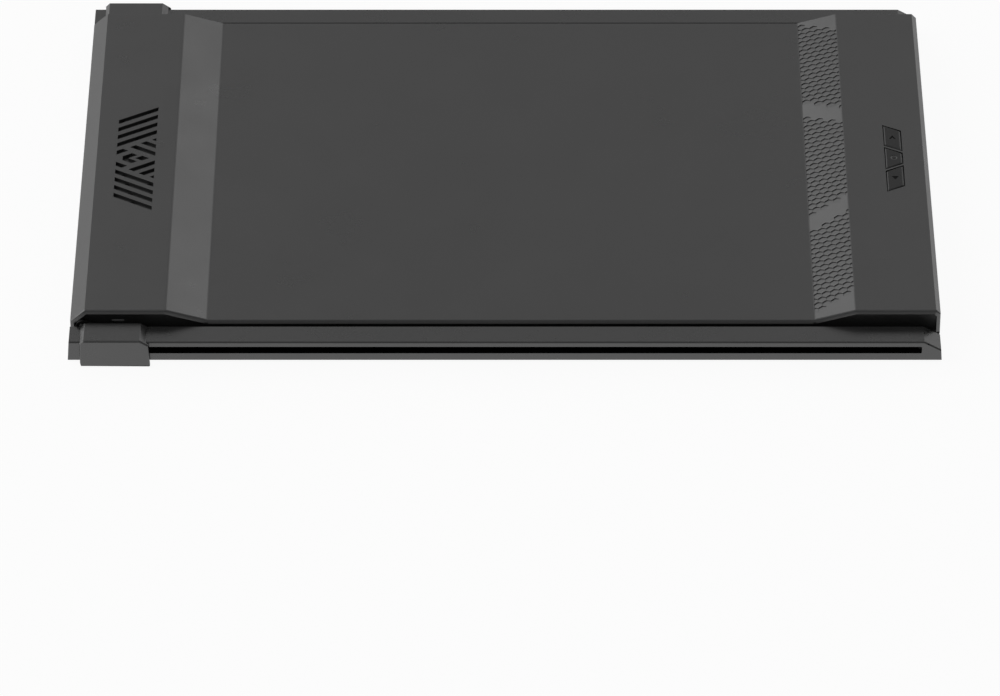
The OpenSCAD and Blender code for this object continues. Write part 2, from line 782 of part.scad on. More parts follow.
module hinge_screws() {
    color("#b0b2b4") place() both_sides() for (x = bracket_screw_x) {
        rod_z(screw_r, x, -bracket_screw_y, 6.6 - e, 10.4);
        rod_z(head_r, x, -bracket_screw_y, 5.95, 6.6);
    }
}

// ---------------------------------------------------------------- buttons

module button(i) {
    switch_top = side_z + board_t + 1;
    color("#38383a") place() difference() {
        union() {
            slab(bulge_in - 0.5, key_top) polygon(button_outline(i, 0));
            slab(bulge_in - 0.9, bulge_in - 0.1) polygon(button_outline(i, key_flange));
            rod_z(1.1, button_mid, button_y[i], switch_top + button_travel + 0.05, bulge_in - 0.5);
        }
        slab(key_top - mark_depth, key_top + 1) translate([button_mid, button_y[i]]) button_mark(i);
    }
}

// Sunk mark: an angle, a ring or a triangle
module button_mark(i) {
    if (i == 0) polygon([[-1.35, -1.1], [0, 1.2], [1.35, -1.1], [0.6, -1.1], [0, -0.1], [-0.6, -1.1]]);
    if (i == 1) difference() {
        circle(1.4);
        circle(0.8);
    }
    if (i == 2) polygon([[-1.4, 1], [1.4, 1], [0, -1.2]]);
}

module button_up() { button(0); }
module button_select() { button(1); }
module button_down() { button(2); }

// ---------------------------------------------------------------- the part

tray_plate();
front_rail();
rear_rail();
tray_screws();
rail_bumpers();
felt_strips();
tray_magnets();
mounting_pads();
front_saddle();
rear_saddle();
front_glide_shoe();
rear_glide_shoe();
front_hinge_arm();
rear_hinge_arm();
saddle_screws();
crossbar();
crossbar_glides();
hinge_pins();
hinge_nuts();
rear_cover();
front_bezel();
bezel_screws();
panel_glass();
diffuser_sheet();
light_guide();
reflector_sheet();
led_strip();
panel_chassis();
panel_cushions();
main_board();
board_chips();
thermal_pads();
heat_sink();
vent_mesh();
board_screws();
status_light_pipe();
panel_cable();
side_cable();
side_board();
tact_switches();
plug_sockets();
front_hinge_bracket();
rear_hinge_bracket();
hinge_washers();
hinge_screws();
button_up();
button_select();
button_down();
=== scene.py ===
"""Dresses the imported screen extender: edges, textured cover, materials, light.

Everything is in metres in the part's own frame: +X along the slide, +Y to the
rear, +Z up. Lengths written with MM are millimetres.
"""
import json
import math

import bmesh
import bpy
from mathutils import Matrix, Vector
from mathutils.geometry import convex_hull_2d


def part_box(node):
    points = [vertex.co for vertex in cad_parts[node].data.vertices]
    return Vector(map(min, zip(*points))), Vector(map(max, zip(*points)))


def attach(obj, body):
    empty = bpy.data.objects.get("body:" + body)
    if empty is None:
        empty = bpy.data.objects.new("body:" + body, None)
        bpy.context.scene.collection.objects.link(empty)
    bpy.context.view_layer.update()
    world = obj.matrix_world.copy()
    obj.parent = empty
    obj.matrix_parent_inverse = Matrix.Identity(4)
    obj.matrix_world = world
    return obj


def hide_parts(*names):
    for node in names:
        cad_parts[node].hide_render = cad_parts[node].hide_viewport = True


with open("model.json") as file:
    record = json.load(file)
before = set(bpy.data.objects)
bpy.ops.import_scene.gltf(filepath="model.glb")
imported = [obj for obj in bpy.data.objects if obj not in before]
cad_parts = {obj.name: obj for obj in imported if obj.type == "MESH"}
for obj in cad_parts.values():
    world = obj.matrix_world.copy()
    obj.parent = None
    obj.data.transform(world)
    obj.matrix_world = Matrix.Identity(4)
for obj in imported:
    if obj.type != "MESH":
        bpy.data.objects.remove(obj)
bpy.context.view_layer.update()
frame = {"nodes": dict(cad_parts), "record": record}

MM = 0.001
NODES = frame["nodes"]
SLOT_OF = {row["node"]: row["material_slot"] for row in frame["record"]["subparts"]}


# ------------------------------------------------------------ camera and stage

CAMERA_AT = (-0.0018, -2.17354, 1.59391)
CAMERA_PITCH = 37.56        # degrees below the horizon
SENSOR = 36.0
LENS = 246.16


def make_camera():
    data = bpy.data.cameras.new("camera")
    data.sensor_width = SENSOR
    data.lens = LENS
    camera = bpy.data.objects.new("camera", data)
    camera.location = CAMERA_AT
    camera.rotation_euler = (math.radians(90 - CAMERA_PITCH), 0, 0)
    bpy.context.scene.collection.objects.link(camera)
    bpy.context.scene.camera = camera


FLOOR_HALF = 6.0
FLOOR_DROP = 0.2 * MM       # keeps the floor clear of the pads' undersides
FLOOR_GREY = 0.9
FLOOR_WHITE = 0.94          # share of plain white in the floor as the eye sees it


def make_floor():
    """Pale floor: white to the eye, with a faint share of its real shading."""
    mesh = bpy.data.meshes.new("floor")
    h = FLOOR_HALF
    mesh.from_pydata([(-h, -h, 0), (h, -h, 0), (h, h, 0), (-h, h, 0)], [], [(0, 1, 2, 3)])
    floor = bpy.data.objects.new("floor", mesh)
    floor.location.z = -FLOOR_DROP
    bpy.context.scene.collection.objects.link(floor)
    shader = Shader("floor_white")
    matte = shader.add("ShaderNodeBsdfDiffuse", Color=grey(FLOOR_GREY))
    white = shader.add("ShaderNodeEmission", Color=grey(1), Strength=1.0)
    seen = shader.add("ShaderNodeMixShader", Fac=FLOOR_WHITE)
    shader.link(matte, "BSDF", seen, 1)
    shader.link(white, "Emission", seen, 2)
    path = shader.add("ShaderNodeLightPath")
    direct = shader.math("MAXIMUM", (path, "Is Camera Ray"), (path, "Is Glossy Ray"))
    direct = shader.math("MAXIMUM", direct, (path, "Is Transmission Ray"))
    out = shader.add("ShaderNodeMixShader")
    shader.link(direct[0], direct[1], out, "Fac")
    shader.link(matte, "BSDF", out, 1)
    shader.link(seen, "Shader", out, 2)
    shader.link(out, "Shader", shader.out, "Surface")
    mesh.materials.append(shader.material)


WORLD = 0.24                # strength of that light


def make_world():
    """Faint even light from all round, as in a studio with pale walls."""
    world = bpy.data.worlds.new("studio")
    bpy.context.scene.world = world
    world.use_nodes = True
    tree = world.node_tree
    tree.nodes.clear()
    out = tree.nodes.new("ShaderNodeOutputWorld")
    back = tree.nodes.new("ShaderNodeBackground")
    back.inputs["Color"].default_value = grey(1)
    back.inputs["Strength"].default_value = WORLD
    tree.links.new(back.outputs[0], out.inputs["Surface"])


LAMP_DISTANCE = 7.0
# azimuth from the rear towards +X, elevation, width, height, radiance
LAMPS = {
    "rear_left": (-41, 27, 46, 38, 1.17),
    "rear_right": (33, 29, 34, 32, 0.92),
    "rear": (-3, 34, 22, 20, 0.20),
    "left": (-92, 28, 60, 56, 1.35),
    "top": (0, 86, 40, 40, 0.4),
}


def make_lamp(name, azimuth, elevation, width, height, radiance):
    """Softbox aimed at the object; angles in degrees, seen from the object."""
    data = bpy.data.lights.new(name, "AREA")
    data.shape = "RECTANGLE"
    data.size, data.size_y = (2 * LAMP_DISTANCE * math.tan(math.radians(angle / 2))
                              for angle in (width, height))
    data.energy = math.pi * radiance * data.size * data.size_y
    lamp = bpy.data.objects.new(name, data)
    a, e = math.radians(azimuth), math.radians(elevation)
    away = Vector((math.sin(a) * math.cos(e), math.cos(a) * math.cos(e), math.sin(e)))
    lamp.location = away * LAMP_DISTANCE
    lamp.rotation_euler = away.to_track_quat("Z", "Y").to_euler()
    bpy.context.scene.collection.objects.link(lamp)


# ------------------------------------------------------------------- materials

class Shader:
    """Short hand for one node material."""

    def __init__(self, name):
        self.material = bpy.data.materials.new(name)
        self.material.use_nodes = True
        self.tree = self.material.node_tree
        self.tree.nodes.clear()
        self.out = self.tree.nodes.new("ShaderNodeOutputMaterial")

    def add(self, kind, settings=(), **values):
        node = self.tree.nodes.new(kind)
        for key, value in dict(settings).items():
            setattr(node, key, value)
        for key, value in values.items():
            node.inputs[key.replace("_", " ")].default_value = value
        return node

    def link(self, source, output, target, socket):
        self.tree.links.new(source.outputs[output], target.inputs[socket])

    def math(self, operation, a, b=None):
        """Math node on numbers or (node, output) pairs; returns such a pair."""
        node = self.tree.nodes.new("ShaderNodeMath")
        node.operation = operation
        for place, value in enumerate((a, b)):
            if isinstance(value, tuple):
                self.link(value[0], value[1], node, place)
            elif value is not None:
                node.inputs[place].default_value = value
        return node, "Value"

    def noise(self, size, detail=2.0, roughness=0.6, stretch=(1, 1, 1), distortion=0.0):
        """Noise in the object's own space; size is in metres."""
        node = self.add("ShaderNodeTexNoise", Scale=1 / size, Detail=detail,
                        Roughness=roughness, Distortion=distortion)
        self.link(self.space(stretch), "Vector", node, "Vector")
        return node, "Fac"

    def cells(self, size):
        """Distance to the nearest of scattered points about `size` metres apart."""
        node = self.add("ShaderNodeTexVoronoi", Scale=1 / size)
        self.link(self.space(), "Vector", node, "Vector")
        return node, "Distance"

    def lines(self, pitch, turn):
        """Parallel bands, `pitch` metres apart, turned about Z by that many degrees."""
        node = self.add("ShaderNodeTexWave", Scale=math.tau / 20 / pitch, Distortion=0.0,
                        Detail=0.0)
        self.link(self.space(turn=turn), "Vector", node, "Vector")
        return node, "Fac"

    def space(self, stretch=(1, 1, 1), turn=0.0):
        place = self.add("ShaderNodeTexCoord")
        mapped = self.add("ShaderNodeMapping")
        mapped.inputs["Scale"].default_value = stretch
        mapped.inputs["Rotation"].default_value = (0, 0, math.radians(turn))
        self.link(place, "Object", mapped, "Vector")
        return mapped

    def scaled(self, source, low, high, start=0.3, end=0.7):
        """Maps start..end of the source to low..high, held at both ends."""
        node = self.add("ShaderNodeMapRange", From_Min=start, From_Max=end,
                        To_Min=low, To_Max=high)
        self.link(source[0], source[1], node, "Value")
        return node, "Result"

    def blended(self, source, first, second):
        """Colour between first, at 0 of the source, and second, at 1."""
        node = self.add("ShaderNodeMix", {"data_type": "RGBA"})
        self.link(source[0], source[1], node, "Factor")
        for socket in node.inputs:
            if socket.type == "RGBA":
                socket.default_value = second if socket.name == "B" else first
        return node, "Result"

    def bump(self, source, depth, strength=1.0):
        node = self.add("ShaderNodeBump", Strength=strength, Distance=depth)
        self.link(source[0], source[1], node, "Height")
        return node, "Normal"

    def within(self, **spans):
        """1 inside the given (low, high) spans of the object's own space, else 0."""
        split = self.add("ShaderNodeSeparateXYZ")
        self.link(self.space(), "Vector", split, "Vector")
        inside = None
        for axis, (low, high) in spans.items():
            off = self.math("SUBTRACT", (split, axis), (low + high) / 2)
            near = self.math("LESS_THAN", self.math("ABSOLUTE", off), (high - low) / 2)
            inside = near if inside is None else self.math("MULTIPLY", inside, near)
        return inside

    def painted_shade_over(self, mask, colour):
        """Covers the finished surface with painted shade, a dull near-black diffuse layer, where
        the mask is 1.
        """
        bare = self.out.inputs["Surface"].links[0].from_socket
        painted_shade_bsdf = self.add("ShaderNodeBsdfDiffuse", Color=colour)
        both = self.add("ShaderNodeMixShader")
        self.link(mask[0], mask[1], both, "Fac")
        self.tree.links.new(bare, both.inputs[1])
        self.link(painted_shade_bsdf, "BSDF", both, 2)
        self.link(both, "Shader", self.out, "Surface")

    def skin(self, colour, roughness, normal, **values):
        """Principled surface; constants go on its sockets, the rest is linked."""
        node = self.add("ShaderNodeBsdfPrincipled", **values)
        for socket, value in (("Base Color", colour), ("Roughness", roughness), ("Normal", normal)):
            if isinstance(value, tuple) and isinstance(value[1], str):
                if value[1] == "Result" and value[0].bl_idname == "ShaderNodeMix":
                    output = next(o for o in value[0].outputs if o.type == "RGBA")
                    self.tree.links.new(output, node.inputs[socket])
                else:
                    self.link(value[0], value[1], node, socket)
            elif value is not None:
                node.inputs[socket].default_value = value
        self.link(node, "BSDF", self.out, "Surface")
        return self.material


def grey(value, tint=(1, 1, 1)):
    return (value * tint[0], value * tint[1], value * tint[2], 1)


def shades(colour, spread):
    """A darker and a lighter version of a colour."""
    return tuple(tuple(c * k for c in colour[:3]) + (1,) for k in (1 - spread, 1 + spread))


def moulded(name, colour, roughness, ior=1.6, grain=0.28, depth=0.007, mottle=0.05,
            painted_shade_boxes=(), **values):
    """Moulded plastic: fine erosion texture, faint flow mottling, and painted shade in boxes.

    grain and depth are the texture's size and height in millimetres, and the list
    of boxes gives where painted shade, a dull near-black layer, darkens the surface.
    """
    shader = Shader(name)
    fine = shader.noise(grain * MM)
    broad = shader.noise(22 * MM, detail=3.0, roughness=0.55)
    tone = shader.blended(shader.scaled(broad, 0, 1), *shades(colour, mottle))
    shine = shader.scaled(broad, roughness - 0.03, roughness + 0.03)
    shader.skin(tone, shine, shader.bump(fine, depth * MM), IOR=ior, **values)
    # painted shade: near black over each of the listed boxes
    for spans in painted_shade_boxes:
        shader.painted_shade_over(shader.within(**spans), grey(SLOT_SHADE_GREY))
    return shader.material


# Painted shade: the inside of the guide slots is painted near black, where shade falls.
SLOT_SHADE_GREY = 0.002           # colour of the painted shade inside the guide slots
SLOT_SHADE_ENDS = 5               # how far inside the rails' ends it stops
SLOT_SHADE_DEEP = 0.1             # how far behind the rails' faces it starts
SLOT_SHADE_SPARE = 0.4            # how far it goes round the shoes


def slot_shade_boxes():
    """Boxes round the inside of the two guide slots, found from the shoes that run in them, for
    painted shade.
    """
    slots = []
    for side, out in (("front", -1), ("rear", 1)):
        rail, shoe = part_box(side + "_rail"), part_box(side + "_glide_shoe")
        reach = max(abs(rail[0].y), abs(rail[1].y))
        depth = sorted((out * reach - out * SLOT_SHADE_DEEP * MM,
                        min(shoe[0].y, shoe[1].y, key=abs) - out * SLOT_SHADE_SPARE * MM))
        slots.append({"X": (rail[0].x + SLOT_SHADE_ENDS * MM, rail[1].x - SLOT_SHADE_ENDS * MM),
                      "Y": tuple(depth),
                      "Z": (shoe[0].z - SLOT_SHADE_SPARE * MM, shoe[1].z + SLOT_SHADE_SPARE * MM)})
    return slots


def metal(name, colour, roughness, along=(1, 40, 40), spread=0.08, **values):
    """Bare or plated metal with a fine brushed grain across `along`."""
    shader = Shader(name)
    grain = shader.noise(8.3 * MM, detail=3.0, stretch=along)
    cloud = shader.noise(6 * MM, detail=4.0)
    tone = shader.blended(shader.scaled(cloud, 0, 1), *shades(colour, spread))
    shine = shader.scaled(grain, roughness - 0.06, roughness + 0.08)
    return shader.skin(tone, shine, shader.bump(grain, 0.01 * MM, 0.4), Metallic=1.0, **values)


def fibres(name, colour, length, thickness, depth):
    """Pressed felt: fibres lying in two directions, with a soft sheen."""
    shader = Shader(name)
    ratio = length / thickness
    one = shader.noise(length * MM, stretch=(1, ratio, ratio), distortion=0.8)
    two = shader.noise(length * MM, stretch=(ratio, 1, ratio), distortion=0.8)
    both = shader.math("MAXIMUM", one, two)
    tone = shader.blended(shader.scaled(both, 0, 1, 0.4, 0.75), *shades(colour, 0.45))
    return shader.skin(tone, 0.95, shader.bump(both, depth * MM), IOR=1.3,
                       Sheen_Weight=0.4, Sheen_Roughness=0.5)


def pores(name, colour, size, depth):
    """Cut foam: open cells, with painted shade making them darker at their bottoms."""
    shader = Shader(name)
    cell = shader.cells(size * MM)
    tone = shader.blended(shader.scaled(cell, 0, 1, 0.1, 0.6), *shades(colour, 0.4))
    return shader.skin(tone, 0.95, shader.bump(cell, depth * MM), IOR=1.3)


def tracks(name, mask, copper, pitch, turns):
    """Printed circuit: copper tracks showing through the mask, in patches."""
    shader = Shader(name)
    first = shader.lines(pitch * MM, turns[0])
    second = shader.lines(pitch * MM, turns[1])
    patch = shader.math("GREATER_THAN", shader.noise(7 * MM, detail=0.0), 0.5)
    one = shader.math("MULTIPLY", shader.math("GREATER_THAN", first, 0.7), patch)
    rest = shader.math("SUBTRACT", 1.0, patch)
    two = shader.math("MULTIPLY", shader.math("GREATER_THAN", second, 0.7), rest)
    track = shader.math("ADD", one, two)
    tone = shader.blended(track, mask, copper)
    weave = shader.noise(0.5 * MM)
    shine = shader.scaled(weave, 0.22, 0.34)
    return shader.skin(tone, shine, shader.bump(track, 0.03 * MM), IOR=1.5)


def picture_glass(name, node):
    """Display face: matte picture area inside a narrow glossy black border."""
    low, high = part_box(node)
    shader = Shader(name)
    inside = shader.within(X=(low[0] + GLASS_BORDER[0], high[0] - GLASS_BORDER[0]),
                           Y=(low[1] + GLASS_BORDER[1], high[1] - GLASS_BORDER[1]))
    fine = shader.noise(0.12 * MM)
    tone = shader.blended(inside, grey(0.004), grey(0.011, (0.9, 0.95, 1.15)))
    shine = shader.scaled(inside, 0.1, 0.26, 0, 1)
    return shader.skin(tone, shine, shader.bump(fine, 0.001 * MM), IOR=1.5)


def dotted_guide(name, size):
    """Clear light guide with a print of fine dots."""
    shader = Shader(name)
    dot = shader.math("LESS_THAN", shader.cells(size * MM), 0.25)
    tone = shader.blended(dot, grey(0.9), grey(0.75))
    shine = shader.scaled(dot, 0.06, 0.5, 0, 1)
    return shader.skin(tone, shine, shader.bump(dot, 0.01 * MM), IOR=1.49,
                       Transmission_Weight=0.85)


BLACK = 0.018               # the housing's own colour; its sheen does the rest
BLACK_IOR = 1.86
GLASS_BORDER = (4 * MM, 3 * MM)

MATERIALS = {
    "housing_black": moulded("housing_black", grey(BLACK), 0.3, ior=BLACK_IOR),
    # painted shade darkens the inside of the rails' guide slots to near black
    "rail_black": moulded("rail_black", grey(BLACK), 0.28, ior=BLACK_IOR, mottle=0.06,
                          painted_shade_boxes=slot_shade_boxes()),
    "bezel_black": moulded("bezel_black", grey(0.02), 0.5, grain=0.35, depth=0.014),
    "key_black": moulded("key_black", grey(0.012), 0.3, ior=1.45, grain=0.2, depth=0.006),
    "rubber_black": moulded("rubber_black", grey(0.018), 0.8, ior=1.45, grain=0.5, depth=0.03,
                            mottle=0.15),
    "felt": fibres("felt", grey(0.03), 1.2, 0.06, 0.12),
    "steel_dark": metal("steel_dark", grey(0.02), 0.55),
    "steel_plain": metal("steel_plain", grey(0.55), 0.3),
    "magnet_nickel": metal("magnet_nickel", grey(0.6, (1, 0.98, 0.93)), 0.2, along=(1, 1, 1)),
    "slide_polymer": moulded("slide_polymer", grey(0.7, (1, 1, 0.95)), 0.4, ior=1.5, mottle=0.03,
                             Subsurface_Weight=0.15, Subsurface_Scale=0.8 * MM),
    "brass": metal("brass", (0.62, 0.45, 0.2, 1), 0.3, spread=0.12),
    "screen_glass": picture_glass("screen_glass", "panel_glass"),
    "film_white": moulded("film_white", grey(0.85), 0.5, ior=1.5, grain=0.08, depth=0.002,
                          mottle=0.01),
    "guide_clear": dotted_guide("guide_clear", 0.9),
    "aluminium": metal("aluminium", grey(0.45), 0.35, along=(40, 1, 40)),
    "foam": pores("foam", grey(0.03), 0.7, 0.25),
    "board_green": tracks("board_green", (0.015, 0.085, 0.045, 1), (0.05, 0.2, 0.1, 1), 0.7,
                          (0, 45)),
    "chip_black": moulded("chip_black", grey(0.015), 0.5, ior=1.5, grain=0.12, depth=0.006),
    "thermal_grey": moulded("thermal_grey", (0.28, 0.31, 0.36, 1), 0.8, ior=1.4, grain=0.3,
                            depth=0.02, mottle=0.08),
    "cable_film": tracks("cable_film", (0.12, 0.07, 0.02, 1), (0.3, 0.17, 0.06, 1), 0.5, (0, 0)),
    "light_pipe": moulded("light_pipe", grey(0.2), 0.3, ior=1.5, grain=0.1, depth=0.002),
    "mark_ink": moulded("mark_ink", grey(0.004), 0.9, ior=1.3, grain=0.15, depth=0.004),
    "mark_ring": moulded("mark_ring", grey(0.11), 0.4, grain=0.15, depth=0.004),
}


def paint(piece, material):
    piece.data.materials.clear()
    piece.data.materials.append(material)


# ------------------------------------------------------------------ edge softening

SHARP = math.radians(30)    # edges steeper than this stay crisp in the shading
STEEP = math.radians(12)    # edges steeper than this are rounded
LONG = 2.0                  # where they are also longer than this
SEGMENTS = 4
WELD = 0.002 * MM           # corners closer than this are one
FLAT = math.radians(0.4)    # faces closer to flat than this are one


def shade_group():
    """Node group: smooth faces, with edges sharper than SHARP kept crisp."""
    group = bpy.data.node_groups.new("crisp_edges", "GeometryNodeTree")
    group.interface.new_socket("Geometry", in_out="INPUT", socket_type="NodeSocketGeometry")
    group.interface.new_socket("Geometry", in_out="OUTPUT", socket_type="NodeSocketGeometry")
    start = group.nodes.new("NodeGroupInput")
    end = group.nodes.new("NodeGroupOutput")
    bare = group.nodes.new("GeometryNodeRemoveAttribute")
    bare.inputs["Name"].default_value = "custom_normal"
    faces = group.nodes.new("GeometryNodeSetShadeSmooth")
    edges = group.nodes.new("GeometryNodeSetShadeSmooth")
    edges.domain = "EDGE"
    edges.inputs["Shade Smooth"].default_value = False
    angle = group.nodes.new("GeometryNodeInputMeshEdgeAngle")
    steep = group.nodes.new("FunctionNodeCompare")
    steep.operation = "GREATER_THAN"
    steep.inputs["B"].default_value = SHARP
    link = group.links.new
    link(angle.outputs["Unsigned Angle"], steep.inputs["A"])
    link(steep.outputs[0], edges.inputs["Selection"])
    link(start.outputs[0], bare.inputs["Geometry"])
    link(bare.outputs[0], faces.inputs["Geometry"])
    link(faces.outputs[0], edges.inputs["Geometry"])
    link(edges.outputs[0], end.inputs[0])
    return group


def weight_group():
    """Node group: marks long sharp edges for the bevel, and leaves round rims.

    Edges that lie far out along Axis, on either side, get the whole width, and
    all others a share of it.
    """
    group = bpy.data.node_groups.new("long_edges", "GeometryNodeTree")
    kinds = {"Geometry": "Geometry", "Axis": "Vector", "Outer": "Float", "Share": "Float"}
    for name, kind in kinds.items():
        group.interface.new_socket(name, in_out="INPUT", socket_type="NodeSocket" + kind)
    group.interface.new_socket("Geometry", in_out="OUTPUT", socket_type="NodeSocketGeometry")
    add, link = group.nodes.new, group.links.new
    start, end = add("NodeGroupInput"), add("NodeGroupOutput")
    ends = add("GeometryNodeInputMeshEdgeVertices")
    angle = add("GeometryNodeInputMeshEdgeAngle")
    place = add("GeometryNodeInputPosition")
    span, reach = (add("ShaderNodeVectorMath") for _ in range(2))
    size = add("ShaderNodeMath")
    span.operation, reach.operation, size.operation = "DISTANCE", "DOT_PRODUCT", "ABSOLUTE"
    long, steep, far = (add("FunctionNodeCompare") for _ in range(3))
    for test in (long, steep, far):
        test.operation = "GREATER_THAN"
    long.inputs["B"].default_value = LONG * MM
    steep.inputs["B"].default_value = STEEP
    share, marked = add("GeometryNodeSwitch"), add("GeometryNodeSwitch")
    share.input_type = marked.input_type = "FLOAT"
    share.inputs["True"].default_value = 1.0
    both = add("FunctionNodeBooleanMath")
    store = add("GeometryNodeStoreNamedAttribute")
    store.data_type = "FLOAT"
    store.domain = "EDGE"
    store.inputs["Name"].default_value = "bevel_weight_edge"
    link(ends.outputs["Position 1"], span.inputs[0])
    link(ends.outputs["Position 2"], span.inputs[1])
    link(span.outputs["Value"], long.inputs["A"])
    link(angle.outputs["Unsigned Angle"], steep.inputs["A"])
    link(long.outputs[0], both.inputs[0])
    link(steep.outputs[0], both.inputs[1])
    link(place.outputs[0], reach.inputs[0])
    link(start.outputs["Axis"], reach.inputs[1])
    link(reach.outputs["Value"], size.inputs[0])
    link(size.outputs[0], far.inputs["A"])
    link(start.outputs["Outer"], far.inputs["B"])
    link(far.outputs[0], share.inputs["Switch"])
    link(start.outputs["Share"], share.inputs["False"])
    link(both.outputs[0], marked.inputs["Switch"])
    link(share.outputs[0], marked.inputs["True"])
    link(marked.outputs[0], store.inputs["Value"])
    link(start.outputs[0], store.inputs["Geometry"])
    link(store.outputs[0], end.inputs[0])
    return group


SHADE = shade_group()
WEIGHT = weight_group()


def soften(piece, width, axis=(0, 0, 0), outer=1.0, share=1.0):
    """Rounds a piece's long edges, without changing its mesh.

    Edges further out than `outer` along `axis` get the width and others that
    share of it. All lengths are in millimetres.
    """
    weld = piece.modifiers.new("weld", "WELD")
    weld.merge_threshold = WELD
    flat = piece.modifiers.new("flat", "DECIMATE")
    flat.decimate_type = "DISSOLVE"
    flat.angle_limit = FLAT
    marks = piece.modifiers.new("marks", "NODES")
    marks.node_group = WEIGHT
    values = {"Axis": axis, "Outer": outer * MM, "Share": share}
    for item in WEIGHT.interface.items_tree:
        if item.in_out == "INPUT" and item.name in values:
            marks[item.identifier] = values[item.name]
    bevel = piece.modifiers.new("bevel", "BEVEL")
    bevel.width = width * MM
    bevel.segments = SEGMENTS
    bevel.limit_method = "WEIGHT"
    bevel.use_clamp_overlap = False
    shade(piece)


def shade(piece):
    crisp = piece.modifiers.new("crisp", "NODES")
    crisp.node_group = SHADE
    normals = piece.modifiers.new("normals", "WEIGHTED_NORMAL")
    normals.keep_sharp = True


def far_out(node, axis):
    """How far a node reaches along an axis on either side, less a hair."""
    low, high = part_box(node)
    return max(abs(low[axis]), abs(high[axis])) / MM - 0.06


EDGES = {
    "front_rail": {"width": 0.1}, "rear_rail": {"width": 0.1}, "tray_plate": {"width": 0.15},
    "front_saddle": {"width": 0.9, "axis": (0, 1, 0), "share": 0.15},
    "rear_saddle": {"width": 0.9, "axis": (0, 1, 0), "share": 0.15},
    "front_bezel": {"width": 0.2}, "front_hinge_arm": {"width": 0.1},
    "rear_hinge_arm": {"width": 0.1}, "crossbar": {"width": 0.12}, "felt_strips": {"width": 0.15},
    "mounting_pads": {"width": 0.2}, "panel_glass": {"width": 0.1},
}


# ------------------------------------------------------- cover with its hexagons

COVER_LIP = 1.5             # height of the lip along the cover's front and rear
FRONT_EDGE = (0.5, 22)      # height of its rounding, and how many degrees the rest leans
REAR_EDGE = (0.15, 2)       # the same at the rear
CREASE = 0.6                # half width of the soft creases between flats and slopes
TOP_BAND = 6                # the cover's top line lies within this of its highest point
ROUND_STEPS = 4             # facets in a quarter turn
HAIR = 0.003 * MM           # keeps the rounding tool off the faces it leaves alone
HEX_PITCH = 3.35            # between neighbouring hexagons
HEX_RIB = 0.14              # plain rib between them
HEX_RADIUS = (HEX_PITCH - HEX_RIB) / math.sqrt(3)   # from middle to corner
HEX_ABOVE = 0.6             # how far the cutters stand out of the slope
HEX_DEEP = 0.32             # depth at a hexagon's deep side
HEX_SHALLOW = 0.03          # and at the opposite side
HEX_DIP = math.radians(115)     # where the deep side lies: 90 is the rear, 180 the left
HEX_MARGIN = 0.3            # plain strip along both edges of the slope
HEX_BANDS = ((43, 97), (-33, 33), (-95.5, -44))   # ends of the three fields, along y
HEX_SLANT = 0.55            # how fast those ends lean inwards along the slope


def plain_shell(node):
    """The node's mesh with welded corners and whole flat faces."""
    bm = bmesh.new()
    bm.from_mesh(NODES[node].data)
    bmesh.ops.remove_doubles(bm, verts=bm.verts, dist=WELD)
    bmesh.ops.dissolve_limit(bm, angle_limit=FLAT, verts=bm.verts, edges=bm.edges)
    return bm


def top_line(bm):
    """Corners (x, z) of the cover's top seen from the front, left to right."""
    rear = max(v.co.y for v in bm.verts) - 0.05 * MM
    low = max(v.co.z for v in bm.verts) - TOP_BAND * MM
    corners = []
    for edge in bm.edges:
        a, b = (v.co for v in edge.verts)
        across = min(abs(a.y), abs(b.y)) > rear and a.y * b.y < 0
        if across and min(a.z, b.z) > low and edge.calc_face_angle() > math.radians(3):
            corners.append(Vector((a.x, a.z)))
    return sorted(corners, key=lambda c: c.x)


def arc(before, corner, after, reach, steps=5):
    """Points that round a corner, tangent to both sides `reach` away from it."""
    start = corner + (before - corner).normalized() * reach
    end = corner + (after - corner).normalized() * reach
    return [start * (1 - t) ** 2 + corner * 2 * t * (1 - t) + end * t ** 2
            for t in (k / steps for k in range(steps + 1))]


def grown(outline, distance):
    """Closed clockwise outline moved outwards, or inwards where distance is negative."""
    moved = []
    for i, p in enumerate(outline):
        before = (p - outline[i - 1]).normalized()
        after = (outline[(i + 1) % len(outline)] - p).normalized()
        out = Vector((-before.y - after.y, before.x + after.x)).normalized()
        moved.append(p + out * (distance / max(0.3, out.dot(Vector((-after.y, after.x))))))
    return moved


def loft(sections, axis=1):
    """Closed solid through flat outlines at given heights along an axis."""
    bm = bmesh.new()
    rings = []
    for height, outline in sections:
        corners = [list(p) for p in outline]
        for corner in corners:
            corner.insert(axis, height)
        rings.append([bm.verts.new(corner) for corner in corners])
    for one, two in zip(rings, rings[1:]):
        for k in range(len(one)):
            n = (k + 1) % len(one)
            bm.faces.new((one[k], one[n], two[n], two[k]))
    bm.faces.new(rings[0])
    bm.faces.new(rings[-1])
    bmesh.ops.recalc_face_normals(bm, faces=bm.faces)
    return bm


def rounded_end(half, outline, height, tilt):
    """Sections that round the end at y = half over that height and lean the lip by tilt."""
    lean = math.radians(tilt)
    r = height * MM / (1 - math.sin(lean))
    back = half - (COVER_LIP - height) * MM * math.tan(lean) - r * math.cos(lean)
    turns = [(math.pi / 2 - lean) * k / ROUND_STEPS for k in range(ROUND_STEPS + 1)]
    sections = [(back + r * math.sin(t) + HAIR, grown(outline, HAIR - r * (1 - math.cos(t))))
                for t in turns]
    return sections + [(half + HAIR, grown(outline, HAIR - COVER_LIP * MM))]


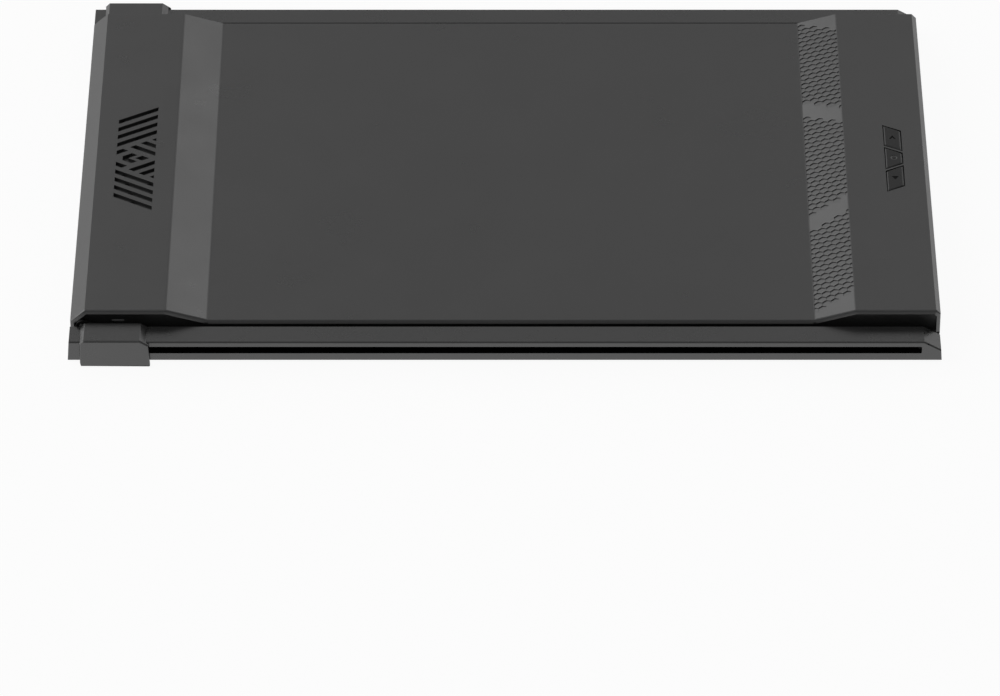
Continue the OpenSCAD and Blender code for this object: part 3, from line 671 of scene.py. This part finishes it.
def cover_tools(bm):
    """Solid with the cover's rounded outside, and fillets for its hollow creases."""
    line = top_line(bm)
    half = max(v.co.y for v in bm.verts)
    soft, fillets = [line[0]], []
    for i in range(1, len(line) - 1):
        before, corner, after = line[i - 1:i + 2]
        if i in (1, len(line) - 2):
            soft.append(corner)
            continue
        rounding = arc(before, corner, after, CREASE * MM)
        soft.extend(rounding)
        hollow = (corner - before).cross(after - corner) > 0
        if hollow:
            under = Vector((0, -0.01 * MM))
            outline = [rounding[0] + under, *rounding[1:-1], rounding[-1] + under,
                       corner + 40 * under]
            fillets.append(loft([(-half, outline), (half, outline)]))
    soft.append(line[-1])
    foot = -5 * MM
    outline = [Vector((line[0].x, foot)), *soft, Vector((line[-1].x, foot))]
    rear = rounded_end(half, outline, *REAR_EDGE)
    front = [(-y, section) for y, section in reversed(rounded_end(half, outline, *FRONT_EDGE))]
    return loft(front + rear), fillets


def clip(points, axis, limit, keep_below):
    """Cuts a convex outline with the line axis = limit."""
    sign = 1 if keep_below else -1
    kept = []
    for i, p in enumerate(points):
        q = points[(i + 1) % len(points)]
        inside_p, inside_q = sign * p[axis] <= sign * limit, sign * q[axis] <= sign * limit
        if inside_p:
            kept.append(p)
        if inside_p != inside_q:
            t = (limit - p[axis]) / (q[axis] - p[axis])
            kept.append(tuple(a + t * (b - a) for a, b in zip(p, q)))
    return kept


def hexagon(u, v):
    """Hexagon around (u, v) in the slope's plane, with corners to front and rear."""
    turns = [math.radians(30 + 60 * k) for k in range(6)]
    return [(u + HEX_RADIUS * math.cos(t), v + HEX_RADIUS * math.sin(t)) for t in turns]


def hexagons(length):
    """Outlines of all hexagons on a slope of that length, in millimetres."""
    row = HEX_PITCH * math.sqrt(3) / 2
    rows = math.ceil(HEX_BANDS[0][1] / row)
    for j in range(-rows, rows + 1):
        v = j * row
        shift = 0.5 * (j % 2)
        for i in range(math.ceil(length / HEX_PITCH) + 1):
            u = (i + shift) * HEX_PITCH
            lean = HEX_SLANT * u
            low, high = next(((a, b) for a, b in HEX_BANDS
                              if in_band(v, a, b, lean)), (0, 0))
            if low == high:
                continue
            shape = clip(hexagon(u, v), 0, HEX_MARGIN, keep_below=False)
            shape = clip(shape, 0, length - HEX_MARGIN, keep_below=True) if shape else shape
            if len(shape) > 2:
                yield shape, (u, v)


def in_band(v, low, high, lean):
    """Bands lean towards the middle on both sides of it."""
    if low > 0:
        return low - lean < v < high - lean
    if high < 0:
        return low + lean < v < high + lean
    return low + lean < v < high - lean


def hex_cutter(bm):
    """Closed wedges, one for each hexagon, standing in the cover's right slope."""
    slope = max((f for f in bm.faces if f.normal.x < -0.2 and f.normal.z > 0.9),
                key=lambda f: f.calc_area())
    normal = slope.normal.copy()
    along = Vector((normal.z, 0, -normal.x))
    foot = min((v.co for v in slope.verts), key=lambda c: c.x)
    start = Vector((foot.x, 0, foot.z))
    length = max((v.co - start).dot(along) for v in slope.verts) / MM
    made = bmesh.new()
    for shape, middle in hexagons(length):
        top, floor = [], []
        for u, v in shape:
            at = start + along * (u * MM) + Vector((0, v * MM, 0))
            off = (u - middle[0]) * math.cos(HEX_DIP) + (v - middle[1]) * math.sin(HEX_DIP)
            share = 0.5 + off / (2 * HEX_RADIUS)
            depth = HEX_SHALLOW + (HEX_DEEP - HEX_SHALLOW) * share
            top.append(made.verts.new(at + normal * (HEX_ABOVE * MM)))
            floor.append(made.verts.new(at - normal * (depth * MM)))
        made.faces.new(top)
        made.faces.new(list(reversed(floor)))
        for k in range(len(top)):
            n = (k + 1) % len(top)
            made.faces.new((top[n], top[k], floor[k], floor[n]))
    return made


def to_object(name, bm):
    mesh = bpy.data.meshes.new(name)
    bm.to_mesh(mesh)
    bm.free()
    piece = bpy.data.objects.new(name, mesh)
    bpy.context.scene.collection.objects.link(piece)
    return piece


def freeze(piece):
    """Replaces the piece's mesh by the result of its modifiers."""
    graph = bpy.context.evaluated_depsgraph_get()
    made = bpy.data.meshes.new_from_object(piece.evaluated_get(graph))
    piece.modifiers.clear()
    old, piece.data = piece.data, made
    bpy.data.meshes.remove(old)


def carve(name, shell, steps):
    """Piece made from a shell by boolean steps, (operation, tool) pairs."""
    piece = to_object(name, shell)
    tools = [to_object("tool", bm) for _, bm in steps]
    for tool, (operation, _) in zip(tools, steps):
        cut = piece.modifiers.new("cut", "BOOLEAN")
        cut.operation = operation
        cut.solver = "EXACT"
        cut.object = tool
    freeze(piece)
    for tool in tools:
        bpy.data.objects.remove(tool)
    shade(piece)
    return piece


def dress(piece, slot, body, node):
    """Gives the piece its material and body, in the place of a CAD node."""
    paint(piece, MATERIALS[slot])
    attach(piece, body)
    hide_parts(node)


def make_cover():
    shell = plain_shell("rear_cover")
    outside, fillets = cover_tools(shell)
    steps = [("UNION", bm) for bm in fillets]
    steps += [("INTERSECT", outside), ("DIFFERENCE", hex_cutter(shell))]
    dress(carve("cover_shell", shell, steps), "housing_black", "screen", "rear_cover")


# ----------------------------------------------------------------------------- keys

KEY_ROUND = (0.75, 0.4)     # how far the rounding of a key's top reaches in, and down
KEY_CORNER = 0.6            # how far its four corners are cut back
KEY_COLLAR = 1.0            # depth below a key's top over which the blank fits closely
KEY_SPARE = 3               # how much wider it is below that, round the flange


def rounded(corners):
    """Outline with each of the corners rounded."""
    outline = []
    for i, corner in enumerate(corners):
        after = corners[(i + 1) % len(corners)]
        outline += arc(corners[i - 1], corner, after, KEY_CORNER * MM, steps=3)
    return outline


def key_blank(bm):
    """Solid with a key's rounded top, wide enough below its collar to leave the rest alone."""
    top = max(v.co.z for v in bm.verts)
    points = [v.co.xy for v in bm.verts if v.co.z > top - 0.01 * MM]
    corners = [points[i] for i in reversed(convex_hull_2d(points))]
    reach, drop, collar, spare = (length * MM for length in (*KEY_ROUND, KEY_COLLAR, KEY_SPARE))
    wide = grown(corners, spare)
    sections = [(top - 4 * spare, wide), (top - collar, wide),
                (top - collar + HAIR, grown(corners, HAIR))]
    for turn in (math.pi / 2 * k / ROUND_STEPS for k in range(ROUND_STEPS + 1)):
        inset = reach * (1 - math.cos(turn)) - HAIR
        sections.append((top - drop + drop * math.sin(turn) + HAIR, grown(corners, -inset)))
    return loft([(height, rounded(outline)) for height, outline in sections], axis=2)


def make_key(node, body, name):
    shell = plain_shell(node)
    dress(carve(name, shell, [("INTERSECT", key_blank(shell))]), "key_black", body, node)


# ------------------------------------------------------------------------ key marks

MARK_LIFT = 0.08            # how far a mark's inlay stands above its pocket's floor
MARK_DEPTH = 0.25           # of that pocket below the key's top


def make_mark(key, body, name, slot):
    """Thin inlay that fills the floor of the mark sunk into a key's top."""
    bm = plain_shell(key)
    floor = max(v.co.z for v in bm.verts) - MARK_DEPTH * MM
    spare = [f for f in bm.faces if f.normal.z < 0.9
             or abs(f.calc_center_median().z - floor) > 0.02 * MM]
    bmesh.ops.delete(bm, geom=spare, context="FACES")
    raised = bmesh.ops.extrude_face_region(bm, geom=bm.faces[:])["geom"]
    for vert in (item for item in raised if isinstance(item, bmesh.types.BMVert)):
        vert.co.z += MARK_LIFT * MM
    bmesh.ops.recalc_face_normals(bm, faces=bm.faces)
    mark = to_object(name, bm)
    shade(mark)
    paint(mark, MATERIALS[slot])
    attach(mark, body)


# ------------------------------------------------------------------------ build

make_camera()
make_floor()
make_world()
for name, setting in LAMPS.items():
    make_lamp(name, *setting)

for name, node in NODES.items():
    paint(node, MATERIALS[SLOT_OF[name]])
    if name in EDGES:
        options = dict(EDGES[name])
        if "axis" in options:
            options["outer"] = far_out(name, options["axis"].index(1))
        soften(node, **options)
make_cover()
for kind, ink in (("up", "mark_ink"), ("select", "mark_ring"), ("down", "mark_ink")):
    make_key("button_" + kind, "key_" + kind, "cap_" + kind)
    make_mark("button_" + kind, "key_" + kind, "mark_" + kind, ink)

view = bpy.context.scene.view_settings
view.view_transform = "Standard"
